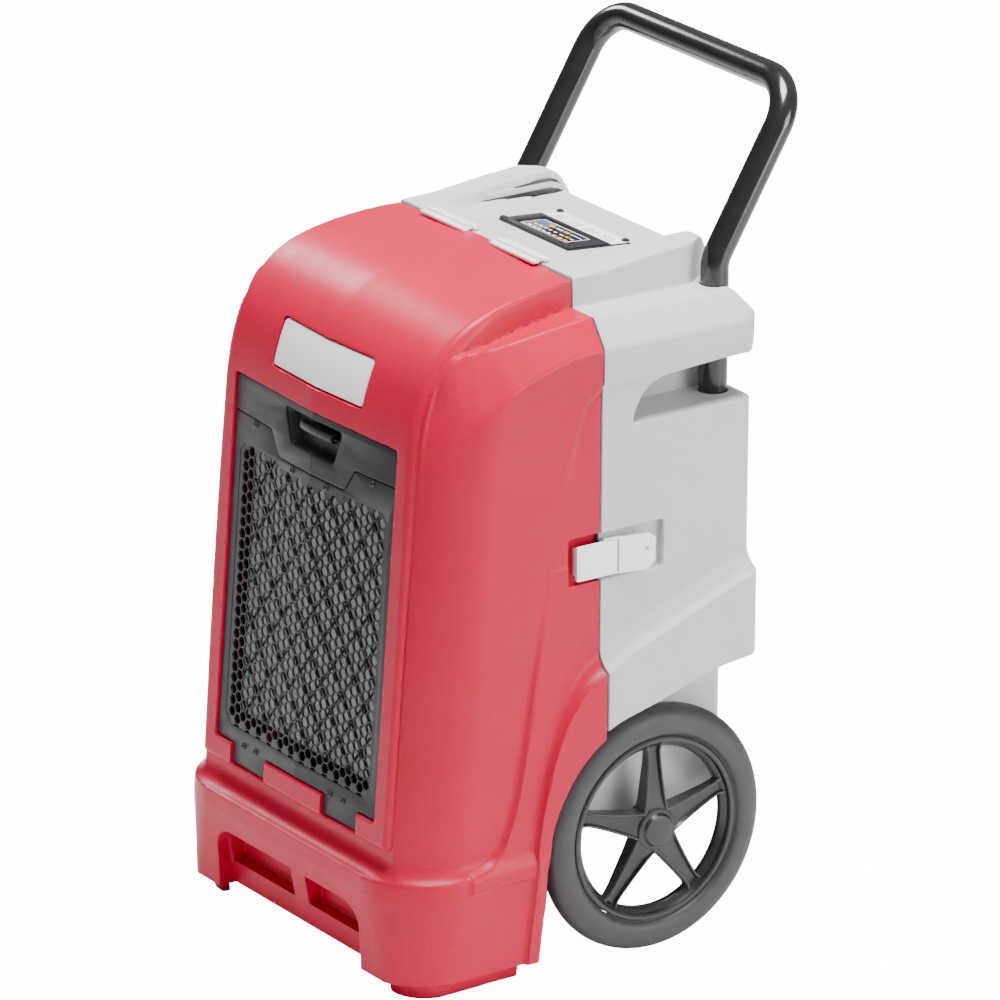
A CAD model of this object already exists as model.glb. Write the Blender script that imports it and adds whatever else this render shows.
import math
import bpy
import bmesh
import numpy as np
from mathutils import Vector, Matrix


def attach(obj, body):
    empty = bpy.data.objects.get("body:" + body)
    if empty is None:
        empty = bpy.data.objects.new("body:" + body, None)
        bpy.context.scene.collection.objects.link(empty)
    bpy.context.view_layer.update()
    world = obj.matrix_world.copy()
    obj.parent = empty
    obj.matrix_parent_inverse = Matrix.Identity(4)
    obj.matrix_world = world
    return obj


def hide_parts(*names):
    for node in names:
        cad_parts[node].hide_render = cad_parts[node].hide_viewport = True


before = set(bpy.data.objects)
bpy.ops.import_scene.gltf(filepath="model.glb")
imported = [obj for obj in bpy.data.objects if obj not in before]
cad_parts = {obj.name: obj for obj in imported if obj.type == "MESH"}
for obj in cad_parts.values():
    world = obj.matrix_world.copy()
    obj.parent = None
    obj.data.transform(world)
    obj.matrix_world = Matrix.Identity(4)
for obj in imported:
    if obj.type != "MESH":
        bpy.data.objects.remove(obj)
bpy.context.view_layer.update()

# Portable dehumidifier: a red front shell and a grey rear shell that meet at a seam, on two
# wheels, with a push handle behind. X is its width, -Y its front, +Z up.
# Lengths are millimetres with Y = 0 on the seam; SHIFT_Y puts the seam where the frame has it.
MM = 0.001
SHIFT_Y = -16.6
SIDES = (("right", 1), ("left", -1))

# Dimensions that several pieces share
AXLE = (68.4, 127.0)                     # Y, Z
ARCH_RADIUS = 132.5                      # wheel arch
HANDLE_X, HANDLE_Y = 160.3, 160.4        # axis of each handle upright
LATCH_SEAT_Z = 424
LATCH_Z = 422.0
BADGE_Z = 599.8
DECK_SLOPE = 0.077                       # fall of the control panel towards the back
CROWN_HALF = 166.0                       # half width over which the front's crown falls away
GRID = 2.4             # cell size of the shells' meshes
SHELL_TRIANGLES = 190000


# ------------------------------------------------------------------ shapes: (vertices, faces)
def to_world(points):
    points = np.array(points, float).reshape(-1, 3)
    return np.stack([points[:, 0] * MM, (points[:, 1] + SHIFT_Y) * MM, points[:, 2] * MM], 1)


def dress(obj, material, body, smooth):
    """Smooth shading with creases above an angle in degrees, one material, one moving body."""
    obj.data.shade_smooth()
    obj.data.set_sharp_from_angle(angle=math.radians(smooth))
    obj.data.materials.clear()
    obj.data.materials.append(material)
    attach(obj, body)


def piece(name, shape, material, body, smooth, replaces=None, subdivide=False):
    mesh = bpy.data.meshes.new(name)
    mesh.from_pydata([tuple(p) for p in to_world(shape[0])], [], shape[1])
    mesh.validate()
    obj = bpy.data.objects.new(name, mesh)
    bpy.context.scene.collection.objects.link(obj)
    work = bmesh.new()
    work.from_mesh(mesh)
    bmesh.ops.remove_doubles(work, verts=work.verts[:], dist=1e-6)
    bmesh.ops.recalc_face_normals(work, faces=work.faces[:])
    work.to_mesh(mesh)
    work.free()
    dress(obj, material, body, smooth)
    if subdivide:
        soft = obj.modifiers.new("soft", "SUBSURF")
        soft.levels = soft.render_levels = 1
    if replaces:
        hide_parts(replaces)


def loft(rings, caps=True, closed=False):
    """A skin over rings of equal count; closed joins the last ring to the first."""
    size, count = len(rings[0]), len(rings)
    verts = [p for ring in rings for p in ring]
    faces = []
    for k in range(count if closed else count - 1):
        start, after = k * size, ((k + 1) % count) * size
        for i in range(size):
            j = (i + 1) % size
            faces.append((start + i, start + j, after + j, after + i))
    if caps:
        faces.append(tuple(range(size))[::-1])
        faces.append(tuple((count - 1) * size + i for i in range(size)))
    return verts, faces


def merge(*shapes):
    verts, faces = [], []
    for more_verts, more_faces in shapes:
        start = len(verts)
        verts += list(more_verts)
        faces += [tuple(i + start for i in face) for face in more_faces]
    return verts, faces


def placed(shape, place):
    """The shape with every vertex moved to place(x, y, z)."""
    return [place(*p) for p in shape[0]], shape[1]


def flip_x(shape, sign):
    return placed(shape, lambda x, y, z: (sign * x, y, z))


def revolve_x(profile, centre, count):
    """A closed profile of (radius, x) turned about an axis along X through centre (Y, Z)."""
    rings = []
    for k in range(count):
        turn = 2 * math.pi * k / count
        rings.append([(x, centre[0] + r * math.cos(turn), centre[1] + r * math.sin(turn))
                      for r, x in profile])
    return loft(rings, caps=False, closed=True)


def oval(x, y, half_x, half_y, count):
    turns = [2 * math.pi * k / count for k in range(count)]
    return [(x + half_x * math.cos(t), y + half_y * math.sin(t)) for t in turns]


def button_head(x, y, profile, count):
    """A round stack along Z from a profile of (radius, height)."""
    return loft([[(*p, height) for p in oval(x, y, r, r, count)] for r, height in profile])


def fillet(before, corner, after, radius, steps):
    """The arc that rounds a corner between its two neighbours."""
    corner = Vector(corner)
    if radius <= 0:
        return [tuple(corner)]
    back, ahead = Vector(before) - corner, Vector(after) - corner
    back_length, ahead_length = back.length, ahead.length
    back.normalize()
    ahead.normalize()
    half = back.angle(ahead) / 2
    reach = min(radius / math.tan(half), 0.48 * back_length, 0.48 * ahead_length)
    centre = corner + (back + ahead).normalized() * (reach * math.tan(half) / math.sin(half))
    start, end = corner + back * reach - centre, corner + ahead * reach - centre
    angle = start.angle(end)
    arc = []
    for k in range(steps + 1):
        turn = angle * k / steps
        arm = (start * math.sin(angle - turn) + end * math.sin(turn)) / math.sin(angle)
        arc.append(tuple(centre + arm))
    return arc


def rounded(points, radius, steps):
    """A closed outline with rounded corners; radius is one value or one per corner."""
    count = len(points)
    radii = radius if isinstance(radius, list) else [radius] * count
    return [p for i in range(count)
            for p in fillet(points[i - 1], points[i], points[(i + 1) % count], radii[i], steps)]


def box_loop(x0, y0, x1, y1, radius, steps=4):
    return rounded([(x0, y0), (x1, y0), (x1, y1), (x0, y1)], radius, steps)


def mirrored(points):
    """The points and their mirror images across X = 0, running on in one outline."""
    return points + [(-x, y) for x, y in reversed(points)]


def plate(loops, thick, edge, res=1):
    """A flat plate with softened edges, from Z = 0 to thick; loops after the first are holes."""
    curve = bpy.data.curves.new("plate", "CURVE")
    curve.dimensions = "2D"
    curve.fill_mode = "BOTH"
    for loop in loops:
        spline = curve.splines.new("POLY")
        spline.points.add(len(loop) - 1)
        for k, p in enumerate(loop):
            spline.points[k].co = (p[0], p[1], 0, 1)
        spline.use_cyclic_u = True
    curve.extrude = thick / 2 - edge
    curve.bevel_depth = edge
    curve.bevel_resolution = res
    curve.offset = -edge
    obj = bpy.data.objects.new("plate", curve)
    bpy.context.scene.collection.objects.link(obj)
    bpy.context.view_layer.update()
    graph = bpy.context.evaluated_depsgraph_get()
    mesh = bpy.data.meshes.new_from_object(obj.evaluated_get(graph))
    verts = [(v.co.x, v.co.y, v.co.z + thick / 2) for v in mesh.vertices]
    faces = [tuple(p.vertices) for p in mesh.polygons]
    bpy.data.objects.remove(obj, do_unlink=True)
    bpy.data.curves.remove(curve)
    bpy.data.meshes.remove(mesh)
    return verts, faces


def open_work(shape):
    mesh = bpy.data.meshes.new("work")
    mesh.from_pydata(shape[0], [], shape[1])
    work = bmesh.new()
    work.from_mesh(mesh)
    bpy.data.meshes.remove(mesh)
    return work


def close_work(work):
    work.verts.index_update()
    shape = [tuple(v.co) for v in work.verts], [tuple(v.index for v in f.verts) for f in work.faces]
    work.free()
    return shape


def split(shape, cuts):
    """Add edges where planes cross the shape; each cut is (axis, place on that axis)."""
    work = open_work(shape)
    for axis, place in cuts:
        normal = Vector([float(k == axis) for k in range(3)])
        bmesh.ops.bisect_plane(work, geom=work.verts[:] + work.edges[:] + work.faces[:],
                               plane_co=normal * place, plane_no=normal, dist=1e-5)
    return close_work(work)


def sweep(path, radius, count):
    """A round tube along a path."""
    path = [Vector(p) for p in path]
    rings, across = [], None
    for i, p in enumerate(path):
        if i == 0:
            along = path[1] - path[0]
        elif i == len(path) - 1:
            along = path[-1] - path[-2]
        else:
            along = (path[i + 1] - p).normalized() + (p - path[i - 1]).normalized()
        along.normalize()
        if across is None:
            across = Vector((1, 0, 0)) if abs(along.x) < 0.9 else Vector((0, 1, 0))
        across = (across - along * across.dot(along)).normalized()
        other = along.cross(across)
        turns = [2 * math.pi * k / count for k in range(count)]
        rings.append([tuple(p + (across * math.cos(t) + other * math.sin(t)) * radius)
                      for t in turns])
    return loft(rings)


# ------------------------------------------------------------------ fields
# A field is negative inside a solid, positive outside, and close to a distance near its surface.
def both(a, b, radius):
    """What lies in both, with the edge between them rounded."""
    return (np.minimum(np.maximum(a, b), -radius)
            + np.sqrt(np.maximum(a + radius, 0) ** 2 + np.maximum(b + radius, 0) ** 2))


def either(a, b, radius):
    """What lies in either, with the corner between them filled."""
    return -both(-a, -b, radius)


def overlap(*fields):
    """What lies in every field, with sharp edges."""
    result = fields[0]
    for field in fields[1:]:
        result = np.maximum(result, field)
    return result


def cut(solid, tool, radius=None):
    """The solid less the tool, with a sharp or a rounded edge."""
    return np.maximum(solid, -tool) if radius is None else both(solid, -tool, radius)


def block(x, y, z, low, high):
    return overlap(*(np.maximum(a - v, v - b) for v, a, b in zip((x, y, z), low, high)))


def ease(t):
    t = np.clip(t, 0, 1)
    return t * t * (3 - 2 * t)


def line(at, *points):
    """A piecewise-linear rule through (at, value) points."""
    return np.interp(at, [p[0] for p in points], [p[1] for p in points])


class Curve:
    """A smooth rule value(x): straight lines through the points, blurred."""

    def __init__(self, points, blur, low=None, high=None):
        points = sorted(points)
        xs = np.array([p[0] for p in points], float)
        values = np.array([p[1] for p in points], float)
        pad = 4 * blur + 1
        low = xs[0] - pad if low is None else low
        high = xs[-1] + pad if high is None else high
        self.x = np.linspace(low, high, 4001)
        raw = np.interp(self.x, xs, values)
        slope0 = (values[1] - values[0]) / (xs[1] - xs[0])
        slope1 = (values[-1] - values[-2]) / (xs[-1] - xs[-2])
        raw = np.where(self.x < xs[0], values[0] + slope0 * (self.x - xs[0]), raw)
        raw = np.where(self.x > xs[-1], values[-1] + slope1 * (self.x - xs[-1]), raw)
        pitch = self.x[1] - self.x[0]
        k = np.arange(-int(3 * blur / pitch) - 1, int(3 * blur / pitch) + 2)
        kernel = np.exp(-0.5 * (k * pitch / blur) ** 2)
        kernel /= kernel.sum()

        def soften(w):
            reach = len(k) // 2
            left = w[0] + (w[1] - w[0]) * np.arange(-reach, 0)
            right = w[-1] + (w[-1] - w[-2]) * np.arange(1, reach + 1)
            return np.convolve(np.concatenate([left, w, right]), kernel, "valid")
        smooth = soften(raw)
        self.values = smooth + soften(raw - smooth)      # gives back part of what the blur lost
        self.slopes = np.gradient(self.values, pitch)

    def __call__(self, x):
        return np.interp(x, self.x, self.values)

    def slope(self, x):
        return np.interp(x, self.x, self.slopes)

    def offset(self, value, x):
        """Distance from the curve of a point at (x, value)."""
        return (value - self(x)) / np.sqrt(1 + self.slope(x) ** 2)


class Outline:
    """A curve in the (Y, Z) plane: its radius from a centre is a smooth rule of the angle, which
    is 0 forward (-Y) and +90 degrees up. Points are (y, z, further values...)."""

    def __init__(self, centre, points, blur):
        self.centre = centre

        def angle(p):
            return math.degrees(math.atan2(p[1] - centre[1], centre[0] - p[0]))
        points = [np.array(p, float) for p in sorted(points, key=angle)]
        full = []
        for i in range(len(points) - 1):     # straight between far points, bent through near ones
            p, q = points[i], points[i + 1]
            before = points[i - 1] if i else p
            after = points[i + 2] if i + 2 < len(points) else q
            length = math.hypot(*(q - p)[:2])
            length0 = math.hypot(*(p - before)[:2])
            length1 = math.hypot(*(after - q)[:2])
            near = length < 32
            bend0 = near and 0 < length0 < 60
            bend1 = near and 0 < length1 < 60
            tangent0 = (q - before) / (length + length0) * length if bend0 else q - p
            tangent1 = (after - p) / (length + length1) * length if bend1 else q - p
            count = max(1, int(length / 4))
            for k in range(count):
                t = k / count
                full.append(p * (2 * t ** 3 - 3 * t ** 2 + 1)
                            + tangent0 * (t ** 3 - 2 * t ** 2 + t)
                            + q * (3 * t ** 2 - 2 * t ** 3)
                            + tangent1 * (t ** 3 - t ** 2))
        full.append(points[-1])

        def rule(value):
            return Curve([(angle(p), value(p)) for p in full], blur, -130, 130)
        self.radius = rule(lambda p: math.hypot(p[0] - centre[0], p[1] - centre[1]))
        self.extra = [rule(lambda p, i=i: p[i]) for i in range(2, len(points[0]))]

    def __call__(self, y, z):
        """Distance from the curve, and the angle."""
        angle = np.degrees(np.arctan2(z - self.centre[1], self.centre[0] - y))
        rho = np.hypot(y - self.centre[0], z - self.centre[1])
        radius = self.radius(angle)
        lean = np.degrees(self.radius.slope(angle)) / np.maximum(radius, 1)
        return (rho - radius) / np.sqrt(1 + lean * lean), angle


def polygon(u, v, points):
    """Exact distance to a polygon in a plane."""
    points = np.array(points, float)
    best = inside = None
    for i in range(len(points)):
        a, b = points[i], points[(i + 1) % len(points)]
        edge = b - a
        from_u, from_v = u - a[0], v - a[1]
        t = np.clip((from_u * edge[0] + from_v * edge[1]) / (edge @ edge), 0, 1)
        gap = (from_u - edge[0] * t) ** 2 + (from_v - edge[1] * t) ** 2
        best = gap if best is None else np.minimum(best, gap)
        if abs(edge[1]) > 1e-9:
            cross = ((a[1] > v) != (b[1] > v)) & (u < (edge[0] * (v - a[1]) / edge[1] + a[0]))
            inside = cross if inside is None else inside ^ cross
    return np.sqrt(best) * np.where(inside, -1.0, 1.0)


def normals(field, points, reach):
    x, y, z = points.T
    slope = np.stack([field(x + reach, y, z) - field(x - reach, y, z),
                      field(x, y + reach, z) - field(x, y - reach, z),
                      field(x, y, z + reach) - field(x, y, z - reach)], 1)
    return slope / np.maximum(np.linalg.norm(slope, axis=1), 1e-9)[:, None]


def contour(field, low, high, cell):
    """Dual contouring of the half X >= 0: one vertex in each grid cell the surface crosses, put
    where the surface's own tangent planes meet, so that creases stay crisp."""
    counts = [int((b - a) / cell) + 2 for a, b in zip(low, high)]
    xs = (np.arange(counts[0]) - 0.5) * cell       # the first cells straddle X = 0
    ys, zs = (low[k] + np.arange(counts[k]) * cell for k in (1, 2))
    axes = (xs, ys, zs)
    values = np.empty(counts, np.float32)
    for i in range(0, len(xs), 16):
        values[i:i + 16] = field(xs[i:i + 16, None, None], ys[None, :, None], zs[None, None, :])
    negative = values < 0
    cells = tuple(count - 1 for count in counts)
    crossings, quads = [], []
    for axis in range(3):
        start, end = [slice(None)] * 3, [slice(None)] * 3
        start[axis], end[axis] = slice(0, -1), slice(1, None)
        near = np.argwhere(negative[tuple(start)] != negative[tuple(end)])
        side1, side2 = (axis + 1) % 3, (axis + 2) % 3
        near = near[(near[:, side1] > 0) & (near[:, side2] > 0)
                    & (near[:, side1] < counts[side1] - 1) & (near[:, side2] < counts[side2] - 1)]
        far = near.copy()
        far[:, axis] += 1
        value0 = values[tuple(near.T)].astype(float)
        value1 = values[tuple(far.T)].astype(float)
        t = value0 / (value0 - value1)
        p = np.stack([axes[k][near[:, k]] for k in range(3)], 1)
        q = np.stack([axes[k][far[:, k]] for k in range(3)], 1)
        for _ in range(2):               # regula falsi keeps the crossing true on bent fields
            middle = p + (q - p) * t[:, None]
            value = field(*middle.T)
            same_side = (value < 0) == (value0 < 0)
            t0, t1 = np.where(same_side, t, 0.0), np.where(same_side, 1.0, t)
            v0, v1 = np.where(same_side, value, value0), np.where(same_side, value1, value)
            drop = np.where(np.abs(v0 - v1) < 1e-12, 1e-12, v0 - v1)
            t = np.clip(t0 + (t1 - t0) * v0 / drop, 0.02, 0.98)
        crossings.append(p + (q - p) * t[:, None])
        ids = []
        for back1, back2 in ((1, 1), (0, 1), (0, 0), (1, 0)):
            c = near.copy()
            c[:, side1] -= back1
            c[:, side2] -= back2
            ids.append((c[:, 0] * cells[1] + c[:, 1]) * cells[2] + c[:, 2])
        ids = np.stack(ids, 1)
        turned = value0 > 0
        ids[turned] = ids[turned][:, ::-1]
        quads.append(ids)
    crossings = np.concatenate(crossings)
    quads = np.concatenate(quads)
    normal = np.repeat(normals(field, crossings, 0.2), 4, 0)
    crossings = np.repeat(crossings, 4, 0)
    used, owner = np.unique(quads.ravel(), return_inverse=True)
    size = len(used)
    count = np.bincount(owner, minlength=size)
    mean = np.stack([np.bincount(owner, crossings[:, k], size) for k in range(3)], 1)
    mean = mean / count[:, None]
    level = (normal * (crossings - mean[owner])).sum(1)
    matrix = np.empty((size, 3, 3))
    right = np.empty((size, 3))
    for i in range(3):
        right[:, i] = np.bincount(owner, normal[:, i] * level, size)
        for j in range(i, 3):
            term = np.bincount(owner, normal[:, i] * normal[:, j], size)
            matrix[:, i, j] = matrix[:, j, i] = term
    matrix[:, [0, 1, 2], [0, 1, 2]] += 0.04 * count[:, None]
    shift = np.linalg.solve(matrix, right[:, :, None])[:, :, 0]
    verts = mean + np.clip(shift, -0.75 * cell, 0.75 * cell)
    verts[np.unravel_index(used, cells)[0] == 0, 0] = 0.0
    return verts, np.searchsorted(used, quads)


def thin_flats(obj, field, verts, ratio):
    """Decimate only where the surface is flat, so that every curve keeps its own fine mesh."""
    normal = normals(field, verts, 4.0)
    bend = np.zeros(len(verts))
    for k in range(3):
        for reach in (-7.0, 7.0):
            moved = verts.copy()
            moved[:, k] += reach
            moved -= normal * ((moved - verts) * normal).sum(1)[:, None]
            bend = np.maximum(bend, 1 - (normals(field, moved, 4.0) * normal).sum(1))
    flat = (bend < 2e-4) & (verts[:, 0] > 1.0)
    group = obj.vertex_groups.new(name="flat")
    group.add([int(i) for i in np.nonzero(flat)[0]], 1.0, "REPLACE")
    thin = obj.modifiers.new("thin", "DECIMATE")
    thin.vertex_group = "flat"
    thin.vertex_group_factor = 1000.0
    thin.ratio = max(ratio, 0.05)
    bpy.context.view_layer.update()
    graph = bpy.context.evaluated_depsgraph_get()
    mesh = bpy.data.meshes.new_from_object(obj.evaluated_get(graph))
    obj.modifiers.clear()
    obj.vertex_groups.clear()
    obj.data = mesh


def field_piece(name, field, low, high, material, body, replaces):
    """A solid from a field, symmetrical about X = 0."""
    verts, quads = contour(field, low, high, GRID)
    mesh = bpy.data.meshes.new(name)
    mesh.vertices.add(len(verts))
    mesh.vertices.foreach_set("co", to_world(verts).ravel())
    mesh.loops.add(len(quads) * 4)
    mesh.loops.foreach_set("vertex_index", quads.ravel().astype(np.int32))
    mesh.polygons.add(len(quads))
    mesh.polygons.foreach_set("loop_start", np.arange(0, len(quads) * 4, 4, dtype=np.int32))
    mesh.update()
    mesh.validate()
    obj = bpy.data.objects.new(name, mesh)
    bpy.context.scene.collection.objects.link(obj)
    if SHELL_TRIANGLES and len(quads) * 2 > SHELL_TRIANGLES:
        thin_flats(obj, field, verts, SHELL_TRIANGLES / (len(quads) * 2))
    work = bmesh.new()
    work.from_mesh(obj.data)
    for v in work.verts:
        if abs(v.co.x) < 2e-4:
            v.co.x = 0.0
    twin = bmesh.ops.duplicate(work, geom=work.verts[:] + work.edges[:] + work.faces[:])["geom"]
    for v in twin:
        if isinstance(v, bmesh.types.BMVert):
            v.co.x = -v.co.x
    bmesh.ops.reverse_faces(work, faces=[g for g in twin if isinstance(g, bmesh.types.BMFace)])
    bmesh.ops.remove_doubles(work, verts=[v for v in work.verts if abs(v.co.x) < 1e-7], dist=2e-6)
    work.to_mesh(obj.data)
    work.free()
    obj.data.name = name
    dress(obj, material, body, 34.0)
    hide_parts(replaces)


# ------------------------------------------------------------------ finishes
def srgb(*levels):
    shares = [level / 255 for level in levels]
    return tuple(v / 12.92 if v <= 0.04045 else ((v + 0.055) / 1.055) ** 2.4 for v in shares)


def feed(node, inputs):
    """Set each input to a value, or link it to an output socket."""
    for key, value in inputs.items():
        if isinstance(value, bpy.types.NodeSocket):
            node.id_data.links.new(value, node.inputs[key])
        else:
            node.inputs[key].default_value = value


def add_node(tree, kind, inputs={}, **settings):
    node = tree.nodes.new("ShaderNode" + kind)
    for key, value in settings.items():
        setattr(node, key, value)
    feed(node, inputs)
    return node


def map_range(tree, value, span, result):
    return add_node(tree, "MapRange", {
        "From Min": span[0], "From Max": span[1], "To Min": result[0], "To Max": result[1],
        "Value": value}).outputs["Result"]


def finish(name, colour, rough, mottle, mottle_mm, metal=0.0, grain=0.0, grain_mm=0.6,
           rough_var=0.0, coat=0.0, speckle=0.0, brushed=False, wear=0.0, spec=0.5):
    """A moulded or metal finish from noise: mottle is slow colour drift and speckle fine colour
    drift, grain a bump, rough_var gloss drift, and wear lightens edges that are rubbed."""
    material = bpy.data.materials.new(name)
    material.use_nodes = True
    tree = material.node_tree
    shader = tree.nodes["Principled BSDF"]
    feed(shader, {"Metallic": metal, "Specular IOR Level": spec, "Coat Weight": coat,
                  "Coat Roughness": 0.12})
    place = add_node(tree, "TexCoord").outputs["Object"]

    def noise(size_mm, detail=2.0, roughness=0.55):
        scaled = add_node(tree, "Mapping", {"Vector": place, "Scale": (1000.0 / size_mm,) * 3})
        return add_node(tree, "TexNoise", {
            "Scale": 1.0, "Detail": detail, "Roughness": roughness,
            "Vector": scaled.outputs["Vector"]}).outputs["Fac"]

    def drift(value, middle, spread, least=-1.0):
        return map_range(tree, value, (0.3, 0.7), (max(middle - spread, least), middle + spread))

    slow = noise(mottle_mm)
    fine = noise(grain_mm, roughness=0.5)
    value = add_node(tree, "Math", {0: drift(slow, 1, mottle), 1: drift(fine, 1, speckle)},
                     operation="MULTIPLY")
    base = add_node(tree, "VectorMath", {0: colour, "Scale": value.outputs[0]},
                    operation="SCALE").outputs["Vector"]
    if wear:
        edge = add_node(tree, "NewGeometry").outputs["Pointiness"]
        rubbed = tuple(min(1.0, c * 1.5 + 0.06) for c in colour) + (1.0,)
        base = add_node(tree, "Mix", {
            "Factor": map_range(tree, edge, (0.52, 0.60), (0.0, wear)), "A": base, "B": rubbed},
            data_type="RGBA").outputs["Result"]
    gloss = noise(mottle_mm * 0.4)
    feed(shader, {"Base Color": base, "Roughness": drift(gloss, rough, rough_var, least=0.02)})
    if grain or brushed:
        height = noise(0.8, 3.0, 0.6) if brushed else fine
        strength = max(grain, 0.06) if brushed else grain
        normal = add_node(tree, "Bump", {"Strength": strength, "Distance": 0.0004,
                                         "Height": height}).outputs["Normal"]
        feed(shader, {"Normal": normal})
        if coat:
            feed(shader, {"Coat Normal": normal})
    return material


def two_tone(material, dark):
    """Darken the half of a crowned sheet on the +X side."""
    tree = material.node_tree
    shader = tree.nodes["Principled BSDF"]
    place = add_node(tree, "TexCoord").outputs["Object"]
    x = add_node(tree, "SeparateXYZ", {"Vector": place}).outputs["X"]
    scaled = add_node(tree, "VectorMath", {
        0: shader.inputs["Base Color"].links[0].from_socket,
        "Scale": map_range(tree, x, (-0.0004, 0.0004), (1.0, dark))}, operation="SCALE")
    feed(shader, {"Base Color": scaled.outputs["Vector"]})


def add_fins(material):
    """Stacked fins: fine dark gaps between bright edges."""
    tree = material.node_tree
    shader = tree.nodes["Principled BSDF"]
    place = add_node(tree, "TexCoord").outputs["Object"]
    wave = add_node(tree, "TexWave", {"Scale": 110.0, "Distortion": 0.05, "Vector": place},
                    bands_direction="X").outputs["Fac"]
    mix = add_node(tree, "Mix", {
        "A": (0.03, 0.03, 0.03, 1), "Factor": wave,
        "B": shader.inputs["Base Color"].links[0].from_socket}, data_type="RGBA")
    bump = add_node(tree, "Bump", {"Strength": 0.8, "Distance": 0.001, "Height": wave})
    feed(shader, {"Base Color": mix.outputs["Result"], "Normal": bump.outputs["Normal"]})


RED = finish("red moulded plastic", (0.50, 0.002, 0.036), rough=0.34, grain=0.32, grain_mm=1.1,
             mottle=0.03, mottle_mm=70, rough_var=0.04, speckle=0.06, spec=0.20)
GREY = finish("light grey moulded plastic", srgb(196, 197, 198), rough=0.40, grain=0.32,
              grain_mm=1.1, mottle=0.015, mottle_mm=80, rough_var=0.04, speckle=0.035, spec=0.40)
BLACK = finish("black satin plastic", srgb(30, 30, 32), rough=0.36, grain=0.10, grain_mm=0.5,
               mottle=0.10, mottle_mm=30, rough_var=0.05, speckle=0.04, wear=0.3)
DOOR_BLACK = finish("black sheet, powder coated", srgb(54, 54, 56), rough=0.42, grain=0.12,
                    grain_mm=0.45, mottle=0.06, mottle_mm=50, rough_var=0.04, speckle=0.05,
                    wear=0.10, spec=0.3)
two_tone(DOOR_BLACK, dark=0.42)
GLOSS = finish("gloss black tube", srgb(16, 16, 17), rough=0.20, grain=0.03, grain_mm=1.5,
               mottle=0.05, mottle_mm=60, rough_var=0.03, coat=0.5)
STEEL, HINGE_STEEL = [finish(name, srgb(252, 252, 252), rough=0.34, metal=0.25, mottle=0.01,
                             mottle_mm=15, rough_var=0.03)
                      for name in ("bright stainless", "bright stainless, hinge")]
PAINTED = finish("black painted steel", srgb(38, 40, 42), rough=0.45, grain=0.10, grain_mm=1.2,
                 mottle=0.12, mottle_mm=30, rough_var=0.08, wear=0.4)
RUBBER = finish("rubber", srgb(30, 30, 30), rough=0.75, grain=0.2, mottle=0.1, mottle_mm=20,
                rough_var=0.05)
TYRE = finish("solid tyre rubber", srgb(50, 50, 52), rough=0.50, grain=0.12, grain_mm=0.5,
              mottle=0.06, mottle_mm=35, rough_var=0.05, speckle=0.05)
RIM = finish("wheel plastic", srgb(26, 26, 28), rough=0.33, grain=0.08, mottle=0.10,
             mottle_mm=25, rough_var=0.05, speckle=0.05, wear=0.55)
WHITE = finish("white plate", srgb(244, 245, 246), rough=0.32, grain=0.04, grain_mm=0.8,
               mottle=0.01, mottle_mm=30, rough_var=0.03)
GLASS = finish("smoked window", srgb(22, 26, 34), rough=0.10, mottle=0.10, mottle_mm=20,
               rough_var=0.02, coat=0.6)
COPPER = finish("drawn copper", srgb(196, 124, 88), rough=0.32, metal=1.0, mottle=0.12,
                mottle_mm=12, rough_var=0.10, brushed=True)
BOARD = finish("circuit board", srgb(24, 84, 46), rough=0.42, grain=0.1, grain_mm=2.0,
               mottle=0.12, mottle_mm=6)
FOAM = finish("seam gasket", srgb(62, 74, 68), rough=0.85, grain=0.4, grain_mm=0.8,
              mottle=0.1, mottle_mm=10)
LIT = finish("lit segment", srgb(246, 246, 240), rough=0.4, mottle=0.03, mottle_mm=2)
AMBER = finish("amber segment", srgb(238, 176, 40), rough=0.4, mottle=0.05, mottle_mm=2)
BLUE = finish("blue segment", srgb(60, 120, 210), rough=0.4, mottle=0.05, mottle_mm=2)
FIN = finish("aluminium fins", srgb(178, 182, 184), rough=0.40, metal=0.9, mottle=0.05,
             mottle_mm=30)
add_fins(FIN)
FILTER = finish("filter media", srgb(168, 169, 171), rough=0.9, grain=0.15, grain_mm=1.6,
                mottle=0.04, mottle_mm=8, speckle=0.05)
NET = finish("filter net cord", srgb(26, 26, 27), rough=0.7, grain=0.2, mottle=0.1, mottle_mm=10)


# ------------------------------------------------------------------ front shell
LEAN = 0.0722                            # the front leans back by this much per unit of height
FRONT_Y, FRONT_Z = -194.5, 551.6         # a point on the leaning front plane
LEAN_LENGTH = math.hypot(1.0, LEAN)
BAND_STAND = 6.8                         # the body lies this far behind the front plane


def front_plane(z, out=0.0):
    """(Y, Z) on the front plane, moved out along its normal."""
    return (FRONT_Y - (FRONT_Z - z) * LEAN - out / LEAN_LENGTH, z + out * LEAN / LEAN_LENGTH)


def crown_at(z):
    """How far the centre of the front bulges."""
    return line(z, (157, 2.5), (250, 2.8), (350, 3.8), (450, 5.8), (548, 6.8))


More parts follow.
